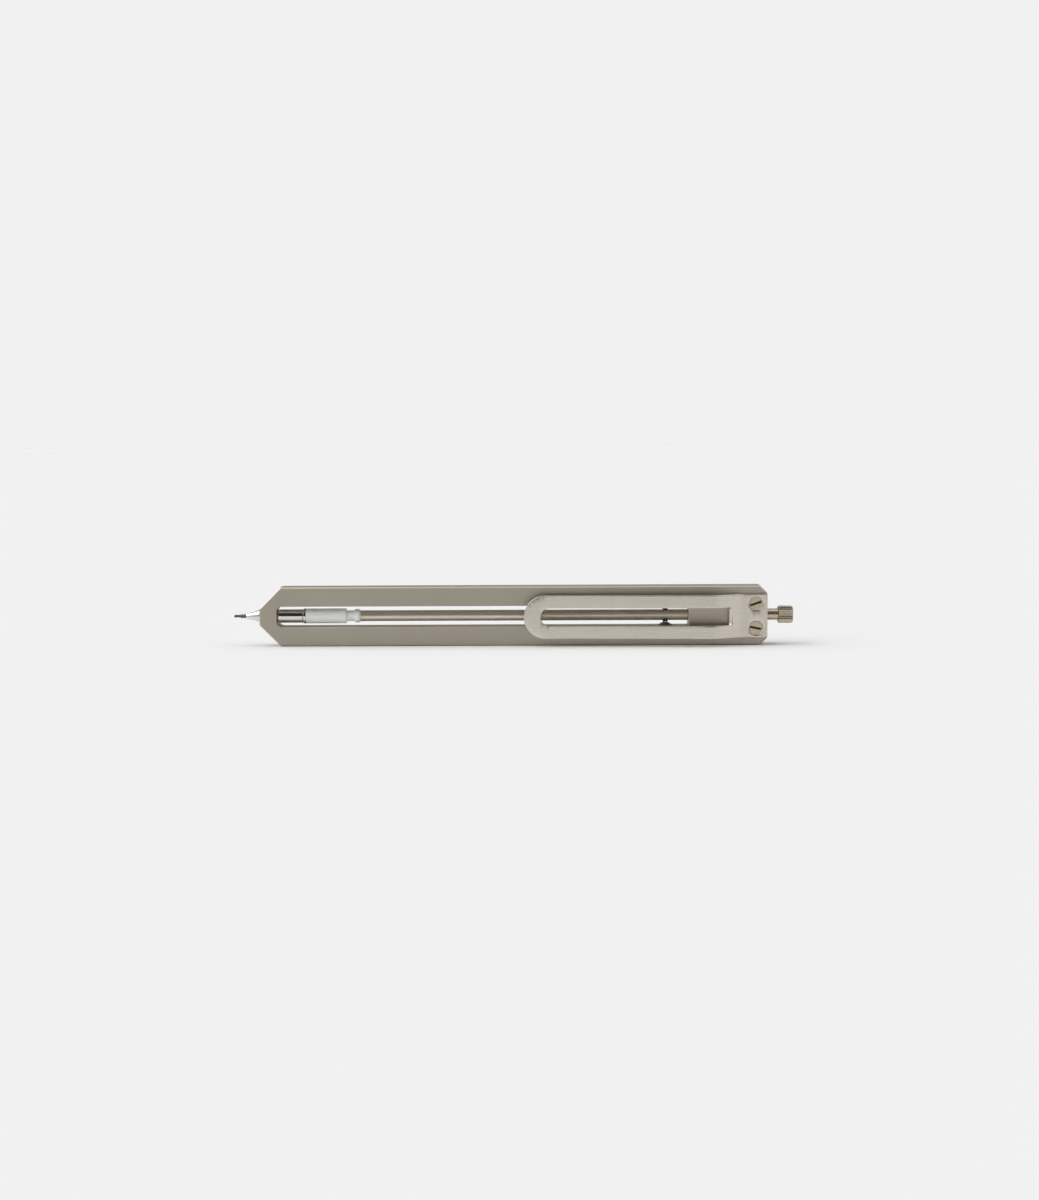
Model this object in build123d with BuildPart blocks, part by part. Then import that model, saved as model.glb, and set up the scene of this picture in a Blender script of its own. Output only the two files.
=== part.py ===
# Flat lead holder: a slotted bar that carries a slim click mechanism, with a screwed-on pocket clip.
# Millimetres. +X runs from the lead to the push knob, +Z is up and -Y is the clip side.
# The origin is the middle of the long narrow face that the holder stands on.
import os
from math import cos, pi, radians, sin

from build123d import *

os.makedirs("parts", exist_ok=True)

# Bar
body_length = 130.3
body_height = 15.25
body_thick = 5.5
nose_chamfer = 5.5
tail_chamfer = 1.8
edge_bevel = 0.3
slot_front = -60.7
slot_rear = 45.05
slot_height = 5.3
slot_corner_front = 1.3
slot_corner_rear = 0.4
slot_bevel = 0.15
nose_bore_r = 1.25
tail_bore_r = 1.53

# How far a cut runs on past the face that it breaks through, and how closely edges are picked
overrun = 1.0
edge_reach = 0.05
edge_match = 0.01

# Places along the bar that follow from it
axis_height = body_height / 2
body_front = -body_length / 2
body_rear = body_length / 2
face_y = -body_thick / 2

# Lead and tip
lead_r = 0.35
lead_front = -72.0
lead_length = 48.0
sleeve_front = -70.3
sleeve_length = 3.0
sleeve_r = 0.5
sleeve_bore_r = 0.39
lead_chamfer = 0.12
cone_front = -68.9
cone_front_r = 0.65
cone_waist = -67.1
cone_waist_r = 1.02
cone_base_r = 1.65
cone_rim = 0.25
shank_r = 1.2
shank_rear = -59.6
shank_bore_r = 0.8
guide_bore_r = 0.42
retainer_front = -67.1
retainer_length = 1.5
retainer_bore_r = 0.39
retainer_r = 0.79

# Clutch and chuck
ferrule_rear = -54.2
ferrule_r = 1.75
ferrule_round = 0.3
ferrule_chamber_r = 1.45
ferrule_step = -57.5
collar_rear = -53.3
collar_r = 1.95
collar_bevel = 0.15
ring_front = -56.7
ring_rear = -55.4
ring_r = 1.4
ring_mouth_r = 1.05
ring_throat_r = 0.82
ring_throat_front = -55.8
head_front = -57.3
head_r = 1.0
head_taper_front = -56.6
head_taper_rear = -55.7
stem_r = 0.75
stem_rear = -41.0
chuck_bore_r = 0.40
jaw_slit = 0.2
jaw_slit_rear = -49.0
jaw_slit_middle_r = 0.6
jaws = 3

# Spring barrel, spring and coupling
barrel_rear = -42.95
barrel_r = 1.92
barrel_cavity_r = 1.5
barrel_cavity_front = -52.6
spigot_r = 1.44
spring_r = 1.15
spring_wire_r = 0.14
spring_turns = 9
spring_seat = 0.17
coupling_front = -44.9
coupling_r = 1.4
flange_front = -40.7
flange_rear = -39.25
flange_r = 1.75
flange_bevel = 0.5
coupling_spigot_r = 1.15
coupling_spigot_length = 4.0
coupling_socket_r = 0.76
funnel_front = -40.0
funnel_rear = -38.5
funnel_r = 0.95

# Lead tube and its snap ring
tube_r = 1.4
tube_bore_r = 1.2
tube_rear = 60.0
groove_front = 38.6
groove_rear = 39.9
groove_r = 1.34
snap_ring_r = 1.8
snap_ring_dip_r = 1.6
snap_ring_gap = 150.0
snap_ring_side_gap = 0.05
snap_ring_bore_r = 1.35
rest_base_r = 2.0
rest_top_r = 0.75
rest_gap = 0.1
spare_lead_length = 60.0
spare_lead_front = -35.0
spare_lead_orbit = 0.78
spare_lead_angles = (-30.0, -90.0, -150.0)

# Push knob
knob_front = 68.1
knob_rear = 71.9
knob_r = 2.25
knob_knurl_depth = 0.2
knob_knurls = 24
knob_bevel = 0.3
neck_r = 1.475
plug_r = 1.1
plug_front = 54.0
plug_groove_front = 56.5
plug_groove_rear = 57.1
plug_groove_r = 0.75
grip_ring_wire_r = 0.22
grip_ring_r = 0.97

# Pocket clip and its screws
clip_thick = 0.9
clip_width = 11.1
clip_tip = 2.9
clip_cut = 59.3
clip_ramp_foot = 58.5
clip_ramp_top = 51.7
clip_ramp_rise = 3.4
clip_dip = 14.0
clip_dip_rise = 1.8
clip_tip_rise = 2.1
clip_bend_r = 4.0
clip_dip_r = 30.0
clip_tip_r = 5.54
clip_slot_front = 7.2
clip_slot_rear = 55.4
clip_slot_height = 4.5
clip_slot_r = 2.24
clip_slot_corner = 0.3
screw_x = 62.2
screw_spacing = 6.3
screw_r = 0.98
screw_hole_r = 1.0
screw_hole_depth = 4.3
screw_length = 4.0
screw_head_r = 1.7
screw_head_drop = 0.08
screw_rim = 0.1
screw_seat_r = 1.9
screw_clearance_r = 1.05
screw_slot_width = 0.6
screw_slot_depth = 0.5
screw_slot_angles = (-12.0, 19.0)

# The planes and the line that the pieces are drawn on
side_plane = Plane(origin=(0, 0, 0), x_dir=(1, 0, 0), z_dir=(0, -1, 0))
turning_plane = Plane(origin=(0, 0, axis_height), x_dir=(1, 0, 0), z_dir=(0, -1, 0))
centre_line = Axis((0, 0, axis_height), (1, 0, 0))


def cross_plane(x):
    """A plane square to the bar at x, with its own x along +Y and its y along +Z, centred on the bore."""
    return Plane(origin=(x, 0, axis_height), x_dir=(0, 1, 0), z_dir=(1, 0, 0))


def save(piece, name):
    """Label a finished piece and write it as its own STEP file."""
    piece.label = name
    export_step(piece, f"parts/{name}.step")


# Bar: one milled plate with a long through slot, bored at the nose and at the tail.
nose_flat = body_height - nose_chamfer
tail_flat = body_height - tail_chamfer
with BuildPart() as body_frame:
    with BuildSketch(side_plane):
        with BuildLine():
            Polyline(
                (body_front, nose_chamfer),
                (body_front + nose_chamfer, 0),
                (body_rear - tail_chamfer, 0),
                (body_rear, tail_chamfer),
                (body_rear, tail_flat),
                (body_rear - tail_chamfer, body_height),
                (body_front + nose_chamfer, body_height),
                (body_front, nose_flat),
                close=True,
            )
        make_face()
    extrude(amount=body_thick / 2, both=True)
    rims = body_frame.edges().filter_by(lambda e: abs(abs(e.center().Y) - body_thick / 2) < edge_match)
    chamfer(rims, edge_bevel)
    with BuildSketch(turning_plane):
        with Locations(((slot_front + slot_rear) / 2, 0)):
            slot_outline = Rectangle(slot_rear - slot_front, slot_height)
        fillet(slot_outline.vertices().group_by(Axis.X)[0], slot_corner_front)
        fillet(slot_outline.vertices().group_by(Axis.X)[-1], slot_corner_rear)
    extrude(amount=body_thick / 2, both=True, mode=Mode.SUBTRACT)
    slot_half = slot_height / 2 + edge_reach
    slot_rims = body_frame.edges().filter_by(
        lambda e: abs(abs(e.center().Y) - body_thick / 2) < edge_match
        and abs(e.center().Z - axis_height) < slot_half
        and slot_front - edge_reach < e.center().X < slot_rear + edge_reach
    )
    chamfer(slot_rims, slot_bevel)
    with BuildSketch(cross_plane(body_front)):
        Circle(nose_bore_r)
    extrude(amount=slot_front - body_front + overrun, mode=Mode.SUBTRACT)
    with BuildSketch(cross_plane(slot_rear - overrun)):
        Circle(tail_bore_r)
    extrude(amount=body_rear - slot_rear + 2 * overrun, mode=Mode.SUBTRACT)
    with BuildSketch(turning_plane.offset(body_thick / 2)):
        with Locations((screw_x, 0)):
            with GridLocations(0, screw_spacing, 1, 2):
                Circle(screw_hole_r)
    extrude(amount=-screw_hole_depth, mode=Mode.SUBTRACT)
save(body_frame.part, "body_frame")

# Tip cone: turned steel, with a threaded shank that passes through the nose into the ferrule.
with BuildPart() as nose_cone:
    with BuildSketch(turning_plane):
        with BuildLine():
            Polyline(
                (cone_front, sleeve_r),
                (cone_front, cone_front_r),
                (cone_waist, cone_waist_r),
                (body_front - cone_rim, cone_base_r),
                (body_front, cone_base_r),
                (body_front, shank_r),
                (shank_rear, shank_r),
                (shank_rear, shank_bore_r),
                (retainer_front, shank_bore_r),
                (retainer_front, guide_bore_r),
                (sleeve_front + sleeve_length, guide_bore_r),
                (sleeve_front + sleeve_length, sleeve_r),
                close=True,
            )
        make_face()
    revolve(axis=centre_line)
save(nose_cone.part, "nose_cone")

# Lead sleeve: thin drawn tube pressed into the cone.
with BuildPart() as lead_sleeve:
    with BuildSketch(cross_plane(sleeve_front)):
        Circle(sleeve_r)
        Circle(sleeve_bore_r, mode=Mode.SUBTRACT)
    extrude(amount=sleeve_length)
save(lead_sleeve.part, "lead_sleeve")

# Lead retainer: rubber bush that keeps the lead from dropping back or out.
with BuildPart() as lead_retainer:
    with BuildSketch(cross_plane(retainer_front)):
        Circle(retainer_r)
        Circle(retainer_bore_r, mode=Mode.SUBTRACT)
    extrude(amount=retainer_length)
save(lead_retainer.part, "lead_retainer")

# Lead in use: one stick, from the point back into the tube.
with BuildPart() as lead:
    with BuildSketch(cross_plane(lead_front)):
        Circle(lead_r)
    extrude(amount=lead_length)
    chamfer(lead.edges().sort_by(Axis.X)[0], lead_chamfer)
save(lead.part, "lead")

# Ferrule: polished front housing, screwed on the cone's shank, that the clutch ring slides in.
with BuildPart() as ferrule:
    with BuildSketch(turning_plane):
        with BuildLine():
            Polyline(
                (slot_front, shank_r),
                (slot_front, ferrule_r),
                (ferrule_rear, ferrule_r),
                (ferrule_rear, ferrule_chamber_r),
                (ferrule_step, ferrule_chamber_r),
                (ferrule_step, shank_r),
                close=True,
            )
        make_face()
    revolve(axis=centre_line)
    front_rim = ferrule.edges().group_by(Axis.X)[0].sort_by(SortBy.RADIUS)[-1]
    fillet(front_rim, ferrule_round)
save(ferrule.part, "ferrule")

# Collar: turned ring that locks the barrel's spigot in the ferrule.
with BuildPart() as collar:
    with BuildSketch(cross_plane(ferrule_rear)):
        Circle(collar_r)
        Circle(ferrule_chamber_r, mode=Mode.SUBTRACT)
    extrude(amount=collar_rear - ferrule_rear)
    chamfer(collar.edges().filter_by(GeomType.CIRCLE).group_by(SortBy.RADIUS)[-1], collar_bevel)
save(collar.part, "collar")

# Clutch ring: brass ring that holds the chuck's jaws shut until it meets the ferrule's step.
with BuildPart() as clutch_ring:
    with BuildSketch(turning_plane):
        with BuildLine():
            Polyline(
                (ring_front, ring_mouth_r),
                (ring_front, ring_r),
                (ring_rear, ring_r),
                (ring_rear, ring_throat_r),
                (ring_throat_front, ring_throat_r),
                close=True,
            )
        make_face()
    revolve(axis=centre_line)
save(clutch_ring.part, "clutch_ring")

# Chuck: brass collet, slit into three jaws from the front.
with BuildPart() as chuck:
    with BuildSketch(turning_plane):
        with BuildLine():
            Polyline(
                (head_front, chuck_bore_r),
                (head_front, head_r),
                (head_taper_front, head_r),
                (head_taper_rear, stem_r),
                (stem_rear, stem_r),
                (stem_rear, chuck_bore_r),
                close=True,
            )
        make_face()
    revolve(axis=centre_line)
    with BuildSketch(cross_plane(head_front)):
        with PolarLocations(jaw_slit_middle_r, jaws, start_angle=90):
            Rectangle(head_r, jaw_slit)
    extrude(amount=jaw_slit_rear - head_front, mode=Mode.SUBTRACT)
save(chuck.part, "chuck")

# Spring barrel: moulded housing, plugged into the ferrule, open at its rear end.
with BuildPart() as spring_barrel:
    with BuildSketch(turning_plane):
        with BuildLine():
            Polyline(
                (ring_rear, ring_throat_r),
                (ring_rear, spigot_r),
                (collar_rear, spigot_r),
                (collar_rear, barrel_r),
                (barrel_rear, barrel_r),
                (barrel_rear, barrel_cavity_r),
                (barrel_cavity_front, barrel_cavity_r),
                (barrel_cavity_front, ring_throat_r),
                close=True,
            )
        make_face()
    revolve(axis=centre_line)
save(spring_barrel.part, "spring_barrel")

# Chuck spring: open coil round the chuck's stem, between the barrel's front wall and the coupling.
spring_front = barrel_cavity_front + spring_seat
spring_height = coupling_front - spring_seat - spring_front
with BuildPart() as chuck_spring:
    with BuildLine():
        coil = Helix(
            pitch=spring_height / spring_turns,
            height=spring_height,
            radius=spring_r,
            center=(spring_front, 0, axis_height),
            direction=(1, 0, 0),
        )
    with BuildSketch(Plane(origin=coil @ 0, z_dir=coil % 0)):
        Circle(spring_wire_r)
    sweep(is_frenet=True)
save(chuck_spring.part, "chuck_spring")

# Coupling: moulded joint between the chuck's tail and the lead tube, with a stop flange and a funnel.
with BuildPart() as tube_coupling:
    with BuildSketch(turning_plane):
        with BuildLine():
            Polyline(
                (coupling_front, coupling_socket_r),
                (coupling_front, coupling_r),
                (flange_front, coupling_r),
                (flange_front, flange_r),
                (flange_rear - flange_bevel, flange_r),
                (flange_rear, tube_r),
                (flange_rear, coupling_spigot_r),
                (flange_rear + coupling_spigot_length, coupling_spigot_r),
                (flange_rear + coupling_spigot_length, funnel_r),
                (funnel_rear, funnel_r),
                (funnel_front, guide_bore_r),
                (stem_rear, guide_bore_r),
                (stem_rear, coupling_socket_r),
                close=True,
            )
        make_face()
    revolve(axis=centre_line)
save(tube_coupling.part, "tube_coupling")

# Lead tube: drawn tube that stores the spare leads and carries the push of the knob.
with BuildPart() as lead_tube:
    with BuildSketch(turning_plane):
        with BuildLine():
            Polyline(
                (flange_rear, tube_bore_r),
                (flange_rear, tube_r),
                (groove_front, tube_r),
                (groove_front, groove_r),
                (groove_rear, groove_r),
                (groove_rear, tube_r),
                (tube_rear, tube_r),
                (tube_rear, tube_bore_r),
                close=True,
            )
        make_face()
    revolve(axis=centre_line)
save(lead_tube.part, "lead_tube")

# Spare leads: full-length sticks lying side by side in the bottom of the tube.
spare_places = [
    (spare_lead_orbit * cos(radians(a)), spare_lead_orbit * sin(radians(a))) for a in spare_lead_angles
]
with BuildPart() as spare_leads:
    with BuildSketch(cross_plane(spare_lead_front)):
        with Locations(*spare_places):
            Circle(lead_r)
    extrude(amount=spare_lead_length)
save(spare_leads.part, "spare_leads")

# Snap ring: black spring-steel C-ring in the tube's groove, open on the clip side.
groove_middle = (groove_front + groove_rear) / 2
ring_land = (groove_rear - groove_front) / 4
half_gap = radians(snap_ring_gap / 2)
gap_reach = 2 * snap_ring_r
with BuildPart() as snap_ring:
    with BuildSketch(turning_plane):
        with BuildLine():
            Polyline(
                (groove_front + snap_ring_side_gap, snap_ring_bore_r),
                (groove_front + snap_ring_side_gap, snap_ring_r),
                (groove_middle - ring_land / 2, snap_ring_r),
                (groove_middle, snap_ring_dip_r),
                (groove_middle + ring_land / 2, snap_ring_r),
                (groove_rear - snap_ring_side_gap, snap_ring_r),
                (groove_rear - snap_ring_side_gap, snap_ring_bore_r),
                close=True,
            )
        make_face()
    revolve(axis=centre_line)
    with BuildSketch(cross_plane(groove_front)):
        with BuildLine():
            Polyline(
                (0, 0),
                (-gap_reach * cos(half_gap), gap_reach * sin(half_gap)),
                (-gap_reach, gap_reach * sin(half_gap)),
                (-gap_reach, -gap_reach * sin(half_gap)),
                (-gap_reach * cos(half_gap), -gap_reach * sin(half_gap)),
                close=True,
            )
        make_face()
    extrude(amount=groove_rear - groove_front, mode=Mode.SUBTRACT)
save(snap_ring.part, "snap_ring")

# Tube rest: small tapered foot that stands on the slot's lower wall, just below the snap ring.
rest_plane = Plane(origin=(groove_middle, 0, axis_height), x_dir=(1, 0, 0), z_dir=(0, -1, 0))
rest_top = -snap_ring_r - rest_gap
with BuildPart() as tube_rest:
    with BuildSketch(rest_plane):
        with BuildLine():
            Polyline(
                (0, -slot_height / 2),
                (rest_base_r, -slot_height / 2),
                (rest_top_r, rest_top),
                (0, rest_top),
                close=True,
            )
        make_face()
    revolve(axis=Axis((groove_middle, 0, axis_height), (0, 0, 1)))
save(tube_rest.part, "tube_rest")

# Push knob: one turned piece, straight knurled, with a smooth neck and a plug that fits the tube.
knurl_points = []
for tooth in range(2 * knob_knurls):
    reach = knob_r if tooth % 2 == 0 else knob_r - knob_knurl_depth
    turn = pi * tooth / knob_knurls
    knurl_points.append((reach * cos(turn), reach * sin(turn)))
with BuildPart() as knob:
    with BuildSketch(cross_plane(knob_front)):
        with BuildLine():
            Polyline(*knurl_points, close=True)
        make_face()
    extrude(amount=knob_rear - knob_front)
    with BuildSketch(turning_plane):
        with BuildLine():
            Polyline(
                (knob_front, 0),
                (knob_front, knob_r - knob_bevel),
                (knob_front + knob_bevel, knob_r),
                (knob_rear - knob_bevel, knob_r),
                (knob_rear, knob_r - knob_bevel),
                (knob_rear, 0),
                close=True,
            )
        make_face()
    revolve(axis=centre_line, mode=Mode.INTERSECT)
    with BuildSketch(turning_plane):
        with BuildLine():
            Polyline(
                (plug_front, 0),
                (plug_front, plug_r),
                (plug_groove_front, plug_r),
                (plug_groove_front, plug_groove_r),
                (plug_groove_rear, plug_groove_r),
                (plug_groove_rear, plug_r),
                (tube_rear, plug_r),
                (tube_rear, neck_r),
                (knob_front, neck_r),
                (knob_front, 0),
                close=True,
            )
        make_face()
    revolve(axis=centre_line)
save(knob.part, "knob")

# Grip ring: small rubber ring on the knob's plug that holds the knob in the tube.
with BuildPart() as grip_ring:
    with BuildSketch(turning_plane):
        with Locations(((plug_groove_front + plug_groove_rear) / 2, grip_ring_r)):
            Circle(grip_ring_wire_r)
    revolve(axis=centre_line)
save(grip_ring.part, "grip_ring")

# Pocket clip: one bent strip, drawn from the side along its middle line and cut out from the front.
middle_y = face_y - clip_thick / 2
clip_path = [
    (body_rear, middle_y),
    (clip_ramp_foot, middle_y),
    (clip_ramp_top, middle_y - clip_ramp_rise),
    (clip_dip, middle_y - clip_dip_rise),
    (clip_tip - overrun, middle_y - clip_tip_rise),
]
with BuildPart() as clip:
    with BuildSketch(Plane.XY.offset(axis_height - clip_width / 2)):
        with BuildLine():
            FilletPolyline(*clip_path, radius=[clip_bend_r, clip_bend_r, clip_dip_r])
        trace(line_width=clip_thick)
    extrude(amount=clip_width)
    with BuildSketch(turning_plane):
        with Locations(((clip_tip + body_rear) / 2, 0)):
            clip_outline = Rectangle(body_rear - clip_tip, clip_width)
        fillet(clip_outline.vertices().group_by(Axis.X)[0], clip_tip_r)
    extrude(amount=2 * body_thick, mode=Mode.INTERSECT)
    with BuildSketch(turning_plane):
        with Locations(((clip_slot_front + clip_slot_rear) / 2, 0)):
            clip_window = Rectangle(clip_slot_rear - clip_slot_front, clip_slot_height)
        fillet(clip_window.vertices().group_by(Axis.X)[0], clip_slot_r)
        fillet(clip_window.vertices().group_by(Axis.X)[-1], clip_slot_corner)
    extrude(amount=2 * body_thick, mode=Mode.SUBTRACT)
    with Locations(turning_plane.offset(-face_y + clip_thick)):
        with Locations((screw_x, 0)):
            with GridLocations(0, screw_spacing, 1, 2):
                CounterSinkHole(screw_clearance_r, screw_seat_r, counter_sink_angle=90)

# The clip is one strip. It is kept as two nodes, cut across its flat beside the bend, so that the arm can flex.
with BuildPart() as clip_foot:
    add(clip.part)
    split(bisect_by=cross_plane(clip_cut), keep=Keep.TOP)
save(clip_foot.part, "clip_foot")
with BuildPart() as clip_arm:
    add(clip.part)
    split(bisect_by=cross_plane(clip_cut), keep=Keep.BOTTOM)
save(clip_arm.part, "clip_arm")

# Clip screws: slotted countersunk screws, with the thread drawn as a plain shank.
screw_top = clip_thick - screw_head_drop
screw_head_depth = screw_head_r - screw_r
screw_profile = [
    (0, screw_top),
    (screw_head_r, screw_top),
    (screw_head_r, screw_top - screw_rim),
    (screw_r, screw_top - screw_rim - screw_head_depth),
    (screw_r, -screw_length),
    (0, -screw_length),
]
with BuildPart() as clip_screws:
    for row, slot_angle in enumerate(screw_slot_angles):
        screw_z = axis_height + (row - 0.5) * screw_spacing
        screw_side = Plane(origin=(screw_x, face_y, screw_z), x_dir=(1, 0, 0), z_dir=(0, 0, 1))
        screw_face = Plane(origin=(screw_x, face_y, screw_z), x_dir=(1, 0, 0), z_dir=(0, -1, 0))
        with BuildSketch(screw_side):
            with BuildLine():
                Polyline(*[(x, -out) for x, out in screw_profile], close=True)
            make_face()
        revolve(axis=Axis((screw_x, face_y, screw_z), (0, 1, 0)))
        with BuildSketch(screw_face.offset(screw_top - screw_slot_depth)):
            Rectangle(2 * (screw_head_r + overrun), screw_slot_width, rotation=slot_angle)
        extrude(amount=2 * screw_slot_depth, mode=Mode.SUBTRACT)
save(clip_screws.part, "clip_screws")
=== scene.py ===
from math import cos, pi, radians, sin

import bmesh
import bpy
from mathutils import Euler, Matrix, Vector


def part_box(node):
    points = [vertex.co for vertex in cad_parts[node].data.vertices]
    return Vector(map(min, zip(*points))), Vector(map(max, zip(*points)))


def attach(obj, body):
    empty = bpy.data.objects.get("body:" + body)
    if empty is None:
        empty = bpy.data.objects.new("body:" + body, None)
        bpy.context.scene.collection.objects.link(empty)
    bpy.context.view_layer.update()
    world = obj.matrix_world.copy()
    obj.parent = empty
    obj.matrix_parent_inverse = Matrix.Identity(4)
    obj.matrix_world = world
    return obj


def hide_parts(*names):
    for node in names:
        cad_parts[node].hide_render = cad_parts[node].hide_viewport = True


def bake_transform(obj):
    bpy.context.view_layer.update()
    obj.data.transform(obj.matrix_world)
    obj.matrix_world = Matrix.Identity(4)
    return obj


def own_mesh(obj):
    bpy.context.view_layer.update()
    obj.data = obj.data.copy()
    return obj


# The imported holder, in metres: +X runs to the push knob, +Z is up and -Y is the clip side.
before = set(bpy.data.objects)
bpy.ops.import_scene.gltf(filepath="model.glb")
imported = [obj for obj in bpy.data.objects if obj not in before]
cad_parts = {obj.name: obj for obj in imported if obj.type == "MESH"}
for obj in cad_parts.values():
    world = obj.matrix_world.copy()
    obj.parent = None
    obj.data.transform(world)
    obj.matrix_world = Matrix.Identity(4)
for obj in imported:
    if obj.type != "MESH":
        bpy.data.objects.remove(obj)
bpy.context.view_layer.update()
mm = 0.001

# ---------------------------------------------------------------------------------------------
# Bar: one milled titanium plate that stands on its long narrow edge. It is bead blasted after
# milling, so its faces are even, dull and warm grey, and every edge is lightly broken.
# ---------------------------------------------------------------------------------------------
bar_low, bar_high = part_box("body_frame")
axis_z = (bar_low.z + bar_high.z) / 2
bar_edge_round = 0.05 * mm
weld_reach = 0.001 * mm
blast_grit = 0.25 * mm
blast_depth = 0.02 * mm
blast_cloud = 18 * mm


def colour(code):
    """An sRGB hex value as the linear colour that a shader takes."""
    parts = [int(code[i:i + 2], 16) / 255 for i in (0, 2, 4)]
    return (*[p / 12.92 if p <= 0.04045 else ((p + 0.055) / 1.055) ** 2.4 for p in parts], 1.0)


def add_node(tree, kind, values=None, links=None, **settings):
    """A new node with its settings, its socket values and the sockets that feed it."""
    made = tree.nodes.new(kind)
    for name, value in settings.items():
        setattr(made, name, value)
    for socket, value in (values or {}).items():
        made.inputs[socket].default_value = value
    for socket, source in (links or {}).items():
        tree.links.new(source, made.inputs[socket])
    return made


def new_finish(name, **values):
    """An empty material with a Principled shader: (material, its node tree, the shader)."""
    material = bpy.data.materials.new(name)
    material.use_nodes = True
    tree = material.node_tree
    tree.nodes.clear()
    sockets = {key.replace("_", " "): value for key, value in values.items()}
    shader = add_node(tree, "ShaderNodeBsdfPrincipled", sockets)
    add_node(tree, "ShaderNodeOutputMaterial", links={"Surface": shader.outputs["BSDF"]})
    return material, tree, shader


def soften(bm, width, steps=2, sharp=25):
    """Rounds every edge that turns by more than sharp degrees."""
    edges = [e for e in bm.edges if len(e.link_faces) == 2 and e.calc_face_angle() > radians(sharp)]
    bmesh.ops.bevel(
        bm, geom=edges, offset=width, offset_type="OFFSET", segments=steps,
        profile=0.5, affect="EDGES", clamp_overlap=True, material=-1,
    )


def settle(bm, name, material, body, nodes):
    """Makes the mesh a piece of the holder: its finish, its body and the CAD nodes it stands for."""
    mesh = bpy.data.meshes.new(name)
    for face in bm.faces:
        face.smooth = True
    bm.to_mesh(mesh)
    bm.free()
    mesh.set_sharp_from_angle(angle=radians(50))
    mesh.materials.append(material)
    piece = bpy.data.objects.new(name, mesh)
    bpy.context.scene.collection.objects.link(piece)
    shading = piece.modifiers.new("even_shading", "WEIGHTED_NORMAL")
    shading.keep_sharp = True
    if body:
        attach(piece, body)
    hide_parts(*nodes)
    return piece


def softened_copy(node, name, material, body, width, steps=2):
    """A CAD node's shape, made whole and with its sharp edges rounded."""
    bm = bmesh.new()
    bm.from_mesh(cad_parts[node].data)
    bmesh.ops.remove_doubles(bm, verts=bm.verts, dist=weld_reach)
    bmesh.ops.dissolve_limit(bm, angle_limit=radians(0.5), verts=bm.verts, edges=bm.edges)
    soften(bm, width, steps)
    return settle(bm, name, material, body, [node])


# Bead-blasted titanium: fine even grit kills the shine, with very faint warmer and cooler clouds.
# The grit is drawn about twice as coarse as it is, so that it still shows.
blasted_titanium, tree, shader = new_finish("blasted_titanium", Metallic=1.0)
place = add_node(tree, "ShaderNodeTexCoord")
cloud = add_node(
    tree, "ShaderNodeTexNoise", {"Scale": 1 / blast_cloud, "Detail": 3.0, "Roughness": 0.55},
    {"Vector": place.outputs["Object"]},
)
grit = add_node(
    tree, "ShaderNodeTexNoise", {"Scale": 1 / blast_grit, "Detail": 2.0, "Roughness": 0.6},
    {"Vector": place.outputs["Object"]},
)
tint = add_node(tree, "ShaderNodeMix", links={0: cloud.outputs["Fac"]}, data_type="RGBA")
tint.inputs[6].default_value = colour("bbb2a4")
tint.inputs[7].default_value = colour("c3bbae")
dull = add_node(
    tree, "ShaderNodeMapRange", {"From Min": 0.3, "From Max": 0.7, "To Min": 0.42, "To Max": 0.52},
    {"Value": grit.outputs["Fac"]},
)
relief = add_node(
    tree, "ShaderNodeBump", {"Strength": 0.25, "Distance": blast_depth}, {"Height": grit.outputs["Fac"]},
)
tree.links.new(tint.outputs[2], shader.inputs["Base Color"])
tree.links.new(dull.outputs["Result"], shader.inputs["Roughness"])
tree.links.new(relief.outputs["Normal"], shader.inputs["Normal"])

softened_copy("body_frame", "bar", blasted_titanium, "frame", bar_edge_round)

# ---------------------------------------------------------------------------------------------
# Tip: a turned and polished steel cone, screwed through the nose. It holds a thin drawn sleeve,
# and a rubber bush inside it grips the lead, a polymer-bonded graphite stick.
# ---------------------------------------------------------------------------------------------
cone_front_r = 0.65 * mm
cone_waist = -67.1 * mm
cone_waist_r = 1.02 * mm
cone_rim = 0.25 * mm
cone_bore_r = 0.5 * mm
shank_r = 1.2 * mm
shank_bore_r = 0.8 * mm
bush_seat = -67.1 * mm
guide_bore_r = 0.42 * mm
sleeve_bore_r = 0.39 * mm
worn_tip = 0.12 * mm
cone_edge_round = 0.06 * mm
sleeve_edge_round = 0.03 * mm
lead_edge_round = 0.02 * mm
turning_marks = 0.12 * mm
turning_depth = 0.004 * mm
sleeve_lines = (4 * mm, 0.1 * mm)
sleeve_line_depth = 0.01 * mm
rubber_mottle = 0.3 * mm
lead_speck = 0.15 * mm
lead_speck_depth = 0.01 * mm
thin_steps = 48
low_corner = 12


def extent(node):
    """Where a turned node starts and ends along the bar, and its largest radius."""
    low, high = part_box(node)
    return low.x, high.x, (high.z - low.z) / 2


def turn(bm, profile, closed=True, steps=96):
    """Spins a profile of (place along the bar, radius) points round the bore's axis."""
    points = [bm.verts.new((x, 0, axis_z + r)) for x, r in profile]
    sides = [bm.edges.new(pair) for pair in zip(points, points[1:])]
    if closed:
        sides.append(bm.edges.new((points[-1], points[0])))
    bmesh.ops.spin(
        bm, geom=points + sides, cent=(0, 0, axis_z), axis=(1, 0, 0), angle=2 * pi,
        steps=steps, use_merge=True,
    )
    bmesh.ops.remove_doubles(bm, verts=bm.verts, dist=0.1 * weld_reach)
    bmesh.ops.recalc_face_normals(bm, faces=bm.faces)


def give_finish(node, material):
    """Puts a finish on a CAD node whose shape stays as it is."""
    for material_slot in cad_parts[node].material_slots:
        material_slot.material = material


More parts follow.
